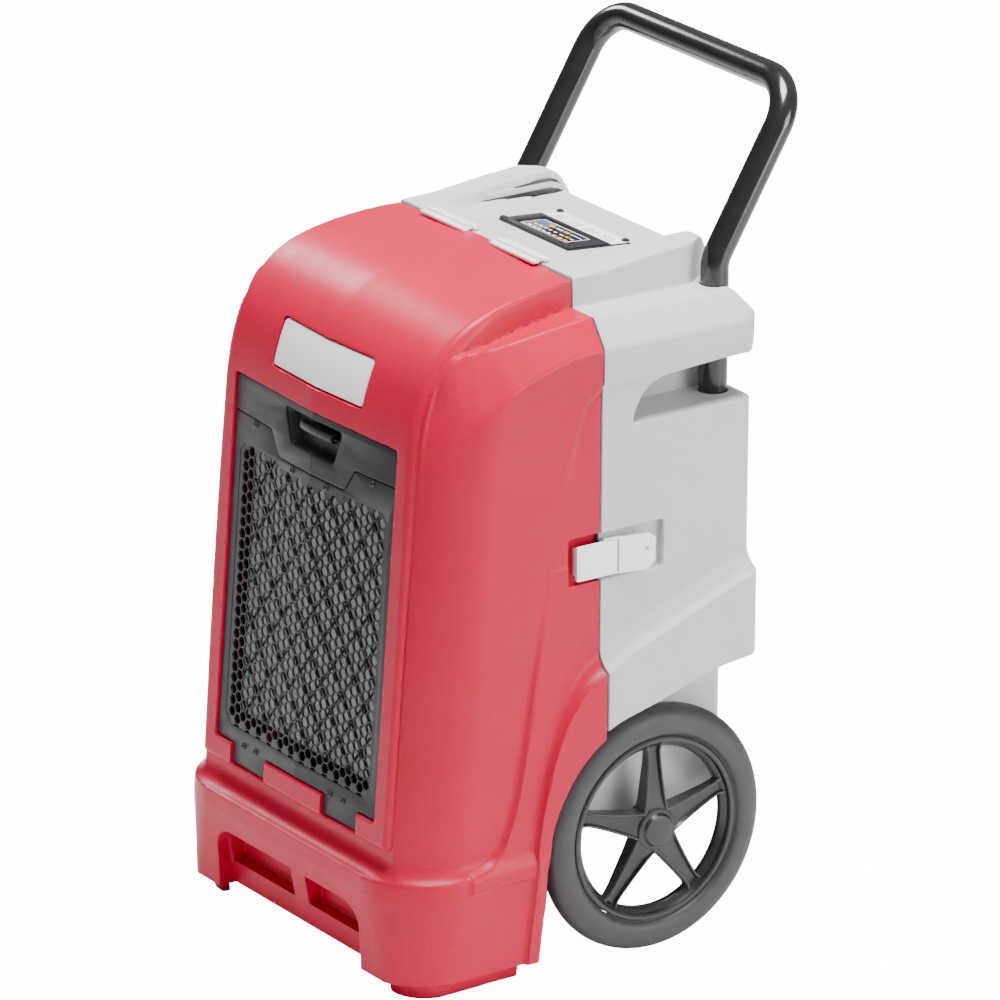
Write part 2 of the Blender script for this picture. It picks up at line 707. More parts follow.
# The band over the top and down the front: y, z, half width, crown, edge rounding, and how far
# the step beside it reaches out
band_points = [
    (90, 694.6, 140, 5.0, 2.5, 0), (40, 694.6, 146, 5.0, 2.5, 0), (0, 694.6, 149, 5.0, 2.5, 0),
    (-22.8, 694.4, 151, 5.2, 3, 0), (-43.9, 693.4, 154, 5.8, 3.5, 0),
    (-70.6, 690.9, 156, 6.6, 4.0, 0), (-88.4, 688.4, 157.5, 7.2, 4.5, 0),
    (-104.4, 684.4, 160, 7.3, 6.0, 0), (-116.8, 680.8, 162, 7.4, 8, 0.2),
    (-132.7, 674.4, 163.5, 7.6, 9, 0.8), (-148.6, 664.6, 164.5, 7.7, 10, 1.6),
    (-159.2, 655.6, 165, 7.8, 10.5, 2.2), (-169.8, 644.2, 165, 7.8, 11, 2.8),
    (-178.6, 631.9, 165, 7.8, 12, 3.2), (-184.8, 621.3, 165.5, 7.8, 12.5, 3.4),
    (-193.2, 600, 166, 7.8, 13, 3.5), (-199.0, 578, 167, 7.6, 13, 3.5)]
for height in (548, 500, 450, 400, 350, 300, 250, 200, 157, 110, 60):
    crown = float(crown_at(height))
    half_width = float(line(height, (157, 165), (450, 166), (548, 167)))
    edge_round = float(line(height, (157, 7), (250, 5.5), (350, 5), (450, 6.5), (548, 11)))
    band_points.append((*front_plane(height, crown + 1.0), half_width, crown, edge_round, 3.5))
BAND = Outline((0.0, 400.0), band_points, 1.6)

# Outlines in (y, z)
BODY = Outline((0.0, 400.0), [
    (90, 664), (40, 664), (0, 663.6), (-40, 659), (-53.6, 657.2), (-80.8, 652.8),
    (-109.3, 648.8), (-134.6, 646.8), (-150, 643), (-163.3, 626.4), (-172.5, 600.8),
    (-181.6, 575.6)] + [(front_plane(height)[0] + BAND_STAND, height) for height in
                        (545, 500, 450, 400, 350, 300, 250, 200, 150, 100, 50, 0)], 1.0)
FENDER = Outline(AXLE, [
    (60, 332), (30, 320), (1, 308), (-12, 302), (-24, 293.5), (-35, 281.5), (-48, 261),
    (-58, 237), (-66, 210), (-73, 179), (-77, 148), (-80, 110), (-84, 60), (-87, 20),
    (-88, -10)], 1.5)
ARCH = Outline(AXLE, [
    (AXLE[0] + ARCH_RADIUS * math.cos(math.radians(t)),
     127 + ARCH_RADIUS * math.sin(math.radians(t))) for t in range(30, 181, 10)] + [
    (-66.0, 118), (-66.5, 100), (-67.5, 78), (-70, 55), (-72.5, 30), (-75, 5), (-77, -20)], 1.2)

# Lines on the shell's side, y as a rule of z
CREASE_Y = Curve([
    (108, -260), (120, -205), (127, -162), (134, -137), (149, -119), (172, -109), (196, -101.5),
    (232, -95), (271, -88), (313, -81), (355, -72), (395, -64), (430, -62), (470, -60)],
    5, 90, 480)
SOFT_Y = Curve([
    (380, -54), (431, -49), (491, -43), (540, -32), (566, -25), (582, -18), (590, -9), (596, 0),
    (600, 14), (610, 60)], 2.0, 360, 640)
RIDGE_Y = Curve([
    (-40, front_plane(-40)[0] + BAND_STAND), (545, front_plane(545)[0] + BAND_STAND),
    (575.6, -181.6), (600.8, -172.5), (626.4, -163.3), (646, -150), (760, -100)], 4, -60, 780)

# The sloping shoulder lies between an upper and a lower edge: x or z as a rule of y
UPPER_X = Curve([
    (-260, 168), (-189, 168.5), (-181.6, 171), (-151, 171), (-134.6, 174), (-109.3, 177),
    (-80.8, 179.5), (-53.6, 181.5), (0, 185), (40, 187)], 4)
UPPER_Z = Curve([
    (-260, 560), (-189, 562), (-181.6, 575.6), (-172.5, 600.8), (-163.3, 626.4), (-153, 643),
    (-134.6, 646.6), (-109.3, 648.4), (-80.8, 652.5), (-53.6, 656.8), (0, 661.5), (40, 662)], 4)
LOWER_X = Curve([
    (-260, 171), (-189, 171), (-178.5, 180.5), (-166, 189.5), (-154, 195), (-138, 199.5),
    (-104.7, 204.5), (40, 204.5)], 4)
LOWER_Z = Curve([
    (-260, 540), (-189, 545), (-178.5, 550.7), (-166, 560.5), (-154, 573.3), (-138, 586.7),
    (-104.7, 610.6), (-73.9, 622.7), (-32.6, 634), (0, 635), (40, 636)], 4)


def front_half_width(y, z):
    """Half width of the body with the fender's flare and its cove, and without them."""
    wide = line(z, (300, 70), (400, 45), (450, 22), (520, 9), (560, 4.5), (600, 3.0))
    plain = 204.5 - 3.5 * ease(0.5 + SOFT_Y.offset(y, z) / (2 * wide))
    plain = plain - 1.2 * ease((360 - z) / 160)
    flare = np.where(z > 200, 217.5, 209 + 8.5 * (z - 20) / 180)
    from_fender, _ = FENDER(y, z)
    cove = line(z, (20, 4), (100, 7), (148, 10), (236, 16), (280, 20), (310, 21))
    u = np.clip(1 - from_fender / cove, 0, 1)
    rise = np.maximum(flare - plain, 0) * (1 - np.sqrt(1 - 0.90 * u * u))
    flared = plain + rise / (1 - math.sqrt(1 - 0.90))
    return np.minimum(flared, np.where(from_fender < 0, flare, flared)), plain


def front_outer(x, y, z, outside=True):
    """The front's solid; outside=False leaves out the flare and the flat underside."""
    absx = np.abs(x)
    flared, plain = front_half_width(y, z)
    side = (absx - (flared if outside else plain)) / 1.03
    upper_x, upper_z, lower_x, lower_z = UPPER_X(y), UPPER_Z(y), LOWER_X(y), LOWER_Z(y)
    length = np.hypot(upper_z - lower_z, lower_x - upper_x)
    shoulder = ((absx - lower_x) * (upper_z - lower_z)
                + (z - lower_z) * (lower_x - upper_x)) / length
    body = both(side, RIDGE_Y(z) - 17.4 - y, 85)
    body = both(body, BODY(y, z)[0], 1.6)
    body = both(body, shoulder, 1.5)
    # behind the crease the side stands proud, and runs out towards the seam
    behind = CREASE_Y.offset(y, z)
    fade = 1 - ease((y + 64) / 58) * ease((z - 285) / 40)
    rise = 9.6 * np.clip((398 - z) / 215, 0, 1) * fade
    proud = both(absx - plain - rise, (absx - plain - 1.4 * behind) / 1.72, 2.0)
    # plan of the bumper, wider and further forward towards its top
    bumper_x = line(z, (0, 199.5), (20, 201.5), (108, 212.6), (124, 213), (150, 213))
    bumper_x = bumper_x - 3.6 * ease((y + 190) / 100)
    bumper_y = line(z, (0, -216), (20, -219), (108, -235.4), (124, -236), (150, -236))
    ring = both(absx - bumper_x, bumper_y - y, line(z, (20, 44), (124, 78)))
    proud = overlap(proud, ring + 0.5, z - 420, 118 - z, -behind - 3.0, -150 - y)
    body = either(body, proud, 2.0)
    # crowned band, with a lower step beside it
    from_band, angle = BAND(y, z)
    half_wide, crown, edge, reach = (rule(angle) for rule in BAND.extra)
    face = from_band + crown * absx / half_wide
    bottom = 152.5 - z
    band = both(both(face, absx - half_wide, edge), bottom, 6)
    step = both(both(face + 7.0, absx - half_wide - reach, 2.0), bottom + 2.5, 5)
    band = cut(either(band, step, 1.0), from_band + 45)
    solid = either(body, band, 1.5)
    bumper = both(ring, (z - 124.5 + 0.12 * ring) / 1.01, 1.8)
    solid = either(solid, np.maximum(bumper, y + 84), 17.0)
    if outside:
        solid = both(solid, 20 - z, 2.0)
    # kick panel, set back from the bumper's face, with two blind fork pockets
    kick = both(both(absx - 127, z - 86.5, 24), y - (bumper_y + 11), 2)
    solid = cut(solid, kick, 1.8)
    pocket = both(both(absx - 125.5, z - 84.5, 22), 13 - absx, 3)
    pocket = both(both(pocket, 46 - z, 3), y + 198.5, 3)
    return cut(solid, pocket, 1.6)


def front_shell(x, y, z):
    absx = np.abs(x)
    from_arch, _ = ARCH(y, z)
    # hollow, with walls left round the wheel arch and behind the latch seat
    inner = front_outer(x, y, z, outside=False) + 7.0
    inner = cut(inner, overlap(from_arch - 4.5, 165.5 - absx))
    inner = cut(inner, block(absx, y, z, (186.5, -45, LATCH_SEAT_Z - 33),
                             (260, 60, LATCH_SEAT_Z + 33)))
    solid = cut(front_outer(x, y, z), inner)
    solid = cut(solid, overlap(from_arch, 170 - absx), 1.4)
    latch_seat = both(overlap(193.0 - absx, -38 - y), np.abs(z - LATCH_SEAT_Z) - 24, 3)
    solid = cut(solid, latch_seat, 1.6)
    # door recess, hinge notches below it, and the air window through it
    out = (front_plane(z)[0] - y) / LEAN_LENGTH
    recess = both(absx - 142.6, np.abs(z - 364.6) - 188.2, 4)
    solid = cut(solid, overlap(recess, -(out + 9.0)), 1.0)
    notch = both(np.abs(absx - 81.5) - 31, np.abs(z - 171) - 14.7, 1.0)
    solid = cut(solid, overlap(notch, -(out + 17.0)), 0.8)
    solid = cut(solid, overlap(absx - 131, np.abs(z - 368) - 180, -(out + 60), out - 4))
    badge_seat = both(absx - 80.2, np.abs(z - BADGE_Z) - 24.4, 5)
    badge_floor = BAND(y, z)[0] + crown_at(548) * absx / CROWN_HALF + 4.2
    solid = cut(solid, overlap(badge_seat, -badge_floor), 0.8)
    # low block cleared away beside the seam
    solid = cut(solid, overlap(-79 - y, z - 118, absx - 192))
    # a foot under each corner of the skirt, set in from its edge
    skirt_x = line(z, (0, 199.5), (20, 201.5)) - 3.6 * ease((y + 190) / 100)
    skirt_y = line(z, (0, -216), (20, -219))
    ring = both(absx - skirt_x, skirt_y - y, 44)
    foot = both(both(both(ring + 7, 150 - absx, 4), y + 85, 2), 0.6 - z, 3)
    foot = overlap(cut(foot, both(ring + 16, y + 95, 2)), z - 30)
    solid = np.minimum(solid, foot)
    return both(solid, y + 1.1, 0.9)


field_piece("front_housing_shell", front_shell, (0, -242, -4), (222, 3, 702), RED,
            "front_shell", "front_housing")


# ------------------------------------------------------------------ rear shell
# Heights as rules of y
LIP_Z = Curve([(0, 600), (42, 604), (91, 606), (141, 611), (171, 615), (200, 618)], 4)
FLARE_TOP_Z = Curve([(-20, 300), (1, 308), (36, 326), (84, 344), (131, 362), (155, 371),
                     (175, 377), (200, 384)], 4)
UNDER_Z = Curve([(-20, 241), (-2, 246.5), (18, 255), (61, 266), (109, 281), (133, 287),
                 (157, 290), (180, 292)], 5)
DECK_CENTRE_Z = Curve([(-20, 692.5), (12, 692.5), (20, 691.6), (32, 688.6), (44, 686.6),
                       (56, 685.6), (134, 679.6), (164, 678), (190, 677.5)], 2.0)
DECK_EDGE_Z = Curve([(-20, 692.2), (0, 692.4), (40, 693.8), (60, 696), (100, 700.5),
                     (140, 703.6), (156, 703.4), (163, 701.5), (169, 697), (174, 690),
                     (180, 680)], 2.5)
# Notch on each side of the deck, (y, z)
NOTCH = [(38, 553), (38, 557), (40.5, 565), (44, 572), (48, 579), (52, 584), (57, 588),
         (62, 591), (70, 593.6), (79, 595), (110, 597), (145, 599), (300, 601), (300, 553)]


def rear_half_width(y, z, flared):
    width = 201.0 + 3.5 * np.clip((z - 597) / np.maximum(LIP_Z(y) - 597, 1), 0, 1)
    if not flared:
        return width
    over = (z - FLARE_TOP_Z(y)) * 0.93
    u = np.clip(1 - over / 21.0, 0, 1)
    cove = (1 - np.sqrt(1 - 0.86 * u * u)) / (1 - math.sqrt(1 - 0.86))
    return width + 16.8 * np.where(over < 0, 1.0, cove)


def rear_outer(x, y, z, flared=True):
    absx = np.abs(x)
    back = y - np.where(z > 597, 184.5, 182.0)
    solid = both(absx - rear_half_width(y, z, flared), back, 15)
    solid = both(solid, (UNDER_Z(y) - z) * 0.96, 3.0)
    solid = both(solid, z - 662, 2)
    shoulder = ((absx - 204.4) * 27 + (z - 635) * 19.4) / 33.25
    solid = both(solid, shoulder, 2.0)
    solid = both(solid, (y - 184) * 0.80 + (z - 637) * 0.60, 2.5)       # rear chamfer
    lip = np.where(z > 590, (y - 184) * 0.5 + (600 - z) * 0.86 - 4, -50)
    solid = both(solid, lip, 2.0)
    # deck on top, dished between its two sides
    top = DECK_CENTRE_Z(y) + (DECK_EDGE_Z(y) - DECK_CENTRE_Z(y)) * ease((absx - 111) / 5.5)
    wall = absx - 149.6 + (z - 664) * 0.035
    deck = both(both(wall, z - top, 3.0), y - 182, 7)
    deck = both(deck, (absx - 149) * 0.80 + (y - 141) * 0.60, 3.0)
    solid = either(solid, np.maximum(deck, 560 - z), 1.5)
    # box between the wheels
    low = both(both(absx - 165, y - 175, 12), 135 - z, 2)
    return either(solid, np.maximum(low, z - 330), 2.0)


def rear_shell(x, y, z):
    absx = np.abs(x)
    from_notch = polygon(y, z, NOTCH)
    from_handle = np.hypot(absx - HANDLE_X, y - HANDLE_Y)
    # hollow, with walls left round the notch, the handle socket and the latch seat
    inner = rear_outer(x, y, z, flared=False) + 7.0
    inner = cut(inner, overlap(from_notch - 6.5, 136 - absx))
    inner = np.minimum(inner, block(absx, y, z, (-1, -60, 90), (159.5, 168, 320)))
    inner = cut(inner, overlap(from_handle - 19.5, 520 - z))
    inner = cut(inner, block(absx, y, z, (186.5, -60, LATCH_SEAT_Z - 33),
                             (260, 82, LATCH_SEAT_Z + 33)))
    solid = cut(rear_outer(x, y, z), inner)
    solid = cut(solid, overlap(from_notch, 143 - absx), 2.4)
    solid = cut(solid, overlap(from_handle - 14.9, 520 - z), 0.8)
    latch_seat = both(overlap(193.0 - absx, y - 75), np.abs(z - LATCH_SEAT_Z) - 24, 3)
    solid = cut(solid, latch_seat, 1.6)
    # openings in the back: one large and one small round one, and a rectangular one
    solid = cut(solid, overlap(np.hypot(x, z - 430) - 106, 150 - y), 1.5)
    solid = cut(solid, overlap(np.hypot(x - 95, z - 215) - 9.6, 150 - y), 0.6)
    solid = cut(solid, overlap(np.abs(x + 100) - 22, np.abs(z - 205) - 17, 150 - y), 0.8)
    panel_seat = both(absx - 61.8, np.abs(y - 94) - 38, 3)
    solid = cut(solid, overlap(panel_seat, 679.6 - (y - 56) * DECK_SLOPE - z), 0.5)
    return both(solid, 1.1 - y, 0.9)


field_piece("rear_housing_shell", rear_shell, (0, -2, 128), (222, 194, 712), GREY,
            "root", "rear_housing")


# ------------------------------------------------------------------ badge plate (blank)
def band_y(x, z, out):
    """Y of the band's front at height z and half width x, moved out."""
    low, high = -260.0, -120.0
    for _ in range(40):
        middle = (low + high) / 2
        distance, angle = BAND(middle, z)
        half_wide, crown = BAND.extra[0](angle), BAND.extra[1](angle)
        if float(distance) + float(crown) * x / float(half_wide) > out:
            low = middle
        else:
            high = middle
    return (low + high) / 2


def badge_plate():
    """A flat plate, cut across so that it can bend, and wrapped round the band's curve."""
    loop = box_loop(-77.5, -22.2, 77.5, 22.2, 3.5, 5)
    low, high = min(p[1] for p in loop), max(p[1] for p in loop)
    cuts = [(1, low + (high - low) * k / 12) for k in range(1, 12)]
    flat = split(plate([loop], 2.6, 0.5, 2), cuts + [(0, 0)])
    return placed(flat, lambda x, up, out:
                  (x, band_y(abs(x), BADGE_Z + up, out - 4.0), BADGE_Z + up))


piece("badge_plate_blank", badge_plate(), WHITE, "front_shell", 30,
      "badge_plate")


# ------------------------------------------------------------------ grille door
# Door shapes are drawn flat as (x, z, out) and laid on the leaning, slightly crowned front.
def on_door(shape, lift=0.0):
    def place(x, z, out):
        crown = float(crown_at(z)) * (1 - abs(x) / CROWN_HALF)
        return (x, *front_plane(z, out + lift + crown))
    return placed(shape, place)


def door_plate(loops, thick, edge, levels, lift):
    cuts = [(0, 0)] + [(1, z) for z in levels]
    return on_door(split(plate(loops, thick, edge), cuts), lift)


def tabbed_edge(tab_z):
    """The door's lower edge, with its two hinge tabs."""
    return mirrored([(-141, 178), (-111, 178), (-111, tab_z), (-52, tab_z), (-52, 178)])


TAB_RADII = [6, 0, 1.5, 1.5, 0, 0, 1.5, 1.5, 0, 6]
DOOR_LEVELS = range(200, 551, 25)
POCKET = rounded([(-49, 544), (49, 544), (49, 537), (38, 508), (-38, 508), (-49, 537)],
                 [3, 3, 3, 6, 6, 3], 5)

# back sheet with a window for the mesh
back_loop = rounded(tabbed_edge(157) + [(141, 551), (-141, 551)], TAB_RADII + [6, 6], 5)
back_window = rounded([(-121, 193), (119, 193), (131, 205)]
                      + mirrored([(131, 478), (122, 485), (61, 485), (55, 479)])
                      + [(-131, 205)], 2, 3)
back_sheet = door_plate([back_loop, back_window, POCKET], 1.6, 0.2, DOOR_LEVELS, -6.4)

# lower face round the mesh
lower_loop = rounded(tabbed_edge(157.6) + mirrored([(141, 513.4), (73.4, 511.8), (58.4, 487.6)]),
                     TAB_RADII + [1, 6, 8, 8, 6, 1], 5)
lower_window = rounded([(-120, 194), (118, 194), (130, 206)]
                       + mirrored([(130, 476), (121, 484), (60, 484), (54, 478)])
                       + [(-130, 206)], 2, 3)
lower_face = door_plate([lower_loop, lower_window], 2.6, 0.45, DOOR_LEVELS, -4.8)

# trapezoid plate across the top, a little proud, with the latch pocket through it
upper_loop = rounded(mirrored([(-141, 551), (-141, 514.6), (-73, 513), (-58, 488.8)]),
                     [6, 1, 6, 8, 8, 6, 1, 6], 5)
upper_face = door_plate([upper_loop, POCKET], 3.2, 0.5, (500, 515, 530, 545), -4.8)


def latch_pocket(depth=11.0):
    """A blind pocket: walls that step in from the outline, a floor, and a closed back."""
    count = len(POCKET)
    centre_x = sum(p[0] for p in POCKET) / count
    centre_z = sum(p[1] for p in POCKET) / count

    def ring(out, scale):
        return [(centre_x + (x - centre_x) * scale, centre_z + (z - centre_z) * scale, out)
                for x, z in POCKET]
    verts, faces = loft([ring(0.0, 1.04), ring(0.0, 1.0), ring(-1.2, 0.985),
                         ring(-depth, 1 - 0.06)], caps=False)
    faces.append(tuple(3 * count + i for i in range(count)))
    start = len(verts)
    verts += ring(-depth - 2.0, 1.04)
    for i in range(count):
        j = (i + 1) % count
        faces.append((start + i, start + j, j, i))
    faces.append(tuple(start + i for i in range(count))[::-1])
    return on_door(split((verts, faces), [(0, 0)]), -4.9)


piece("grille_door_frame", merge(back_sheet, lower_face, upper_face, latch_pocket()),
      DOOR_BLACK, "filter_door", 30, "grille_door")

# Hexagonal mesh: cells in columns, each with an opening, or solid near the window's edge
PITCH_X, PITCH_Z = 9.96, 11.5
CELL_RADIUS = PITCH_Z / 2 / math.cos(math.pi / 6)
RIB = 0.42                               # half the width of a rib
HOLE_RADIUS = CELL_RADIUS - RIB / math.cos(math.pi / 6) - 0.45
MESH_FRONT, MESH_BACK = -2.9, -5.0       # out from the front plane


def hex_mesh():
    verts, faces, index = [], [], {}

    def corner(centre, k, radius, out):
        """Index of the vertex at corner k, shared with neighbouring cells."""
        turn = math.pi / 3 * k
        p = (centre[0] + radius * math.cos(turn), centre[1] + radius * math.sin(turn), out)
        key = tuple(round(v, 3) for v in p)
        if key not in index:
            index[key] = len(verts)
            verts.append(p)
        return index[key]

    def hexagon(centre, out):
        return [corner(centre, k, CELL_RADIUS, out) for k in range(6)]

    for i in range(-13, 14):
        for j in range(27):
            x, z = i * PITCH_X, 196.5 + j * PITCH_Z + (PITCH_Z / 2 if i % 2 else 0)
            wide = abs(x)
            if wide > 131 or z > 489 or (z > 481 and wide < 58):
                continue
            if (wide > 127 or z < 199 or z > (482 if wide > 64 else 474)
                    or (wide + (z - 470) > 136 and z > 470) or wide - (z - 200) > 125):
                faces.append(tuple(hexagon((x, z), MESH_FRONT)))
                faces.append(tuple(hexagon((x, z), MESH_BACK)[::-1]))
                continue
            levels = ((HOLE_RADIUS + 0.35, MESH_FRONT), (HOLE_RADIUS, MESH_FRONT - 0.4),
                      (HOLE_RADIUS, MESH_BACK))
            mouth, throat, rear = zip(*[[corner((x, z), k, *level) for level in levels]
                                        for k in range(6)])
            front, back = hexagon((x, z), MESH_FRONT), hexagon((x, z), MESH_BACK)
            for k in range(6):
                m = (k + 1) % 6
                faces += [(front[k], front[m], mouth[m], mouth[k]),
                          (mouth[k], mouth[m], throat[m], throat[k]),
                          (throat[k], throat[m], rear[m], rear[k]),
                          (back[m], back[k], rear[k], rear[m])]

    # close the rim with walls from the front's border to the back's
    work = open_work((verts, faces))
    border = [edge for edge in work.edges if edge.is_boundary]

    def spot(v):
        return (round(v.co.x, 2), round(v.co.y, 2))
    behind = {spot(v): v for edge in border for v in edge.verts
              if abs(v.co.z - MESH_BACK) < 1e-4}
    for edge in border:
        first, second = edge.verts
        if (all(abs(v.co.z - MESH_FRONT) < 1e-4 for v in edge.verts)
                and spot(first) in behind and spot(second) in behind):
            work.faces.new((first, second, behind[spot(second)], behind[spot(first)]))
    return on_door(split(close_work(work), [(0, 0)]))


piece("grille_door_hex_mesh", hex_mesh(), DOOR_BLACK, "filter_door", 30)

SCREW_RADIUS = 3.3
SCREW = [(SCREW_RADIUS * share, height) for share, height in
         ((1, 0.0), (1, 0.6), (0.9, 1.5), (0.66, 2.1), (0.44, 2.2), (0.40, 1.2))]
DOOR_SCREWS = ((-104, 508.2), (103, 508.2), (-32, 482.6), (28, 482.6),
               (-93, 179.5), (-71, 180.5), (62, 180.5), (85, 180.5))        # x, z
piece("door_screws", merge(*(on_door(button_head(x, z, SCREW, 18), -2.2)
                             for x, z in DOOR_SCREWS)),
      BLACK, "filter_door", 30)


# ------------------------------------------------------------------ filter
def filter_pad(columns=44, rows=54):
    """A pad with a faintly uneven front."""
    verts, faces = [], []
    for j in range(rows + 1):
        for i in range(columns + 1):
            wave = 0.12 * math.sin(i * 1.9 + 0.7 * math.sin(j * 0.9)) * math.cos(j * 1.3)
            verts.append((-123 + 246 * i / columns, 206 + 284 * j / rows, wave))
    stride = columns + 1
    for j in range(rows):
        for i in range(columns):
            a = j * stride + i
            faces.append((a, a + 1, a + stride + 1, a + stride))
    rim = (list(range(stride)) + [j * stride + columns for j in range(1, rows + 1)]
           + [rows * stride + i for i in range(columns - 1, -1, -1)]
           + [j * stride for j in range(rows - 1, 0, -1)])
    low = [len(verts) + k for k in range(len(rim))]
    verts += [(verts[i][0], verts[i][1], -5.5) for i in rim]
    for k in range(len(rim)):
        m = (k + 1) % len(rim)
        faces.append((rim[m], rim[k], low[k], low[m]))
    faces.append(tuple(low[::-1]))
    return on_door((verts, faces), -15.5)


def filter_net():
    """Cords that cross both ways over the pad."""
    cords = []
    for way in (1, -1):
        for k in range(-8, 9):
            levels = [207 + 282 * t / 40 for t in range(41)]
            points = [(way * (z - 348) * 0.80 + k * 37.0, z, -14.2) for z in levels]
            points = [p for p in points if abs(p[0]) <= 122]
            if len(points) > 2:
                cords.append(sweep(on_door((points, []))[0], 1.25, 6))
    return merge(*cords)


piece("air_filter_pad", filter_pad(), FILTER, "filter_door", 60, "air_filter")
piece("air_filter_net", filter_net(), NET, "filter_door", 60)

# ------------------------------------------------------------------ finger latch
# A bar with a hooked lip across the pocket: section as (up, out)
BAR = [(-5.5, -9.5), (-5.0, -4.0), (-3.0, -1.2), (1.5, -0.6), (4.2, -1.6), (5.2, -4.5),
       (5.2, -8.0), (3.6, -8.6), (3.0, -5.2), (1.0, -3.6), (-2.6, -4.4), (-3.6, -9.8)]
bar_rings = []
for x in (-27.5, -26.5, -9, 0, 9, 26.5, 27.5):
    scale = 0.9 if abs(x) > 27 else 1.0      # the ends taper
    bar_rings.append([(x, 530 + up * scale, -0.6 + (out + 5) * scale - 5) for up, out in BAR])
piece("door_latch_bar", on_door(loft(bar_rings), -3.4), BLACK, "door_latch",
      40, "door_latch")

# ------------------------------------------------------------------ draw latches
LATCH_X = 203.7                          # outer face of the claw
LATCH_THICK = 1.6


def side_plate(loops, cuts, outer_x):
    """A plate drawn as (y, z) whose outer face stands at outer_x(y)."""
    flat = split(plate(loops, LATCH_THICK, 0.35), [(0, y) for y in cuts])
    return placed(flat, lambda y, z, out: (float(outer_x(y)) - LATCH_THICK + out, y, z))


def latch_claw():
    half = [(-29, 18), (7, 18), (8.2, 16.8), (18.6, 16.8)]
    loop = [(y, LATCH_Z - reach) for y, reach in half]
    loop += [(y, LATCH_Z + reach) for y, reach in reversed(half)]
    face = side_plate([rounded(loop, [2.5] + [0.4] * 6 + [2.5], 4)],
                      (0, -20, -10, 10, 16), lambda y: LATCH_X)
    section = [(203.5, -29.0), (203.5, -27.5), (201.4, -27.3), (200.4, -28.2), (200.9, -29.0)]
    hook = loft([[(*p, LATCH_Z + z) for p in section] for z in (-17, 17)])
    return merge(face, hook)


def latch_lever():
    loop = rounded([(y, LATCH_Z + z) for y, z in (
        (20.5, -18.5), (49, -18.5), (59.6, -11), (59.6, 13), (52, 18.5), (20.5, 18.5))],
        [0.6, 2, 1.5, 1.5, 2, 0.6], 4)
    hole = oval(50, LATCH_Z + 3, 2.1, 2.1, 20)
    slot = oval(56.4, LATCH_Z + 1, 0.5, 1.2, 12)
    parts = [side_plate([loop, hole, slot], range(22, 59, 4), lambda y: LATCH_X
                        + 5.3 * ease((y - 18) / 46) + 0.6 * np.clip((y - 18) / 40, 0, 1))]
    ear = plate([rounded([(196.2, 4.2), (201.4, 4.2), (203.2, 20), (204.0, 27), (202.2, 27),
                          (196.2, 21)], [2, 2, 0.5, 0.5, 0.5, 2], 4)], 1.4, 0.25)
    for start in (LATCH_Z - 18.4, LATCH_Z + 17.0):
        parts.append(placed(ear, lambda x, y, z: (x, y, start + z)))
    return merge(*parts)


for side, sign in SIDES:
    for part, shape in (("claw", latch_claw()), ("lever", latch_lever())):
        piece("latch_%s_plate_%s" % (part, side), flip_x(shape, sign), STEEL,
              "latch_%s_%s" % (part, side), 30, "latch_%s_%s" % (part, side))

# ------------------------------------------------------------------ wheels
# Closed sections as (radius, x)
TYRE_SECTION = [
    (97.6, 182.0), (98.6, 179.4), (101.5, 177.6), (108, 176.7), (114, 177.5), (119.5, 179.8),
    (123.5, 183.0), (125.9, 187.0), (126.9, 191.0), (126.9, 194.5), (125.9, 198.5),
    (123.5, 202.4), (119.5, 205.7), (114, 208.0), (108, 208.9), (101.5, 208.2), (98.6, 206.4),
    (97.6, 203.6), (96.2, 202.2), (95.6, 203.0), (95.4, 200.0), (95.4, 186.0)]
HOOP_SECTION = [
    (95.1, 182.5), (95.1, 203.4), (93.4, 204.6), (91.2, 204.6), (89.6, 203.4), (88.2, 200.0),
    (84.6, 197.4), (83.4, 195.5), (83.4, 190.0), (84.6, 188.2), (88.6, 186.0), (91.0, 182.4)]
HUB_SECTION = [
    (8.4, 179), (20, 179), (21.5, 181), (21.5, 205.5), (20.4, 206.6), (17.5, 207.0),
    (16.6, 208.2), (15.2, 210.2), (12.5, 211.0), (0.0, 211.0), (0.0, 207.5), (8.4, 207.3)]
# Spoke stations: radius, half width, outer x, inner x
SPOKE = ((10, 15.5, 205.4, 188), (20, 14.0, 204.8, 188), (32, 12.0, 203.8, 188.5),
         (50, 9.8, 202.4, 189), (70, 8.0, 201.0, 190), (80, 7.6, 200.3, 190),
         (86.5, 9.5, 200.0, 189.5))


def spoke(turn):
    """A spoke with a raised rib along each edge of its outer face."""
    cos, sin = math.cos(turn), math.sin(turn)
    rings = []
    for radius, wide, outer, inner in SPOKE:
        rib = min(2.4, wide * 0.3)
        drop = 3.2 if radius > 24 else 1.0
        half = [(wide, outer - 1.2), (wide - 1.0, outer), (wide - rib, outer),
                (wide - rib - 1.2, outer - drop)]
        section = [(-wide, inner), (wide, inner)] + half + [(-s, x) for s, x in reversed(half)]
        rings.append([(x, AXLE[0] + cos * radius - sin * s, AXLE[1] + sin * radius + cos * s)
                      for s, x in section])
    return loft(rings)


tyre = revolve_x(TYRE_SECTION, AXLE, 128)
rim = merge(revolve_x(HOOP_SECTION, AXLE, 128),
            *(spoke(math.radians(90 + 72 * k)) for k in range(5)),
            revolve_x(HUB_SECTION, AXLE, 64))
for side, sign in SIDES:
    piece("tyre_" + side + "_fine", flip_x(tyre, sign), TYRE, "wheel_" + side,
          40, "tyre_" + side, subdivide=True)
    piece("wheel_rim_" + side + "_fine", flip_x(rim, sign), RIM, "wheel_" + side,
          30, "wheel_rim_" + side)

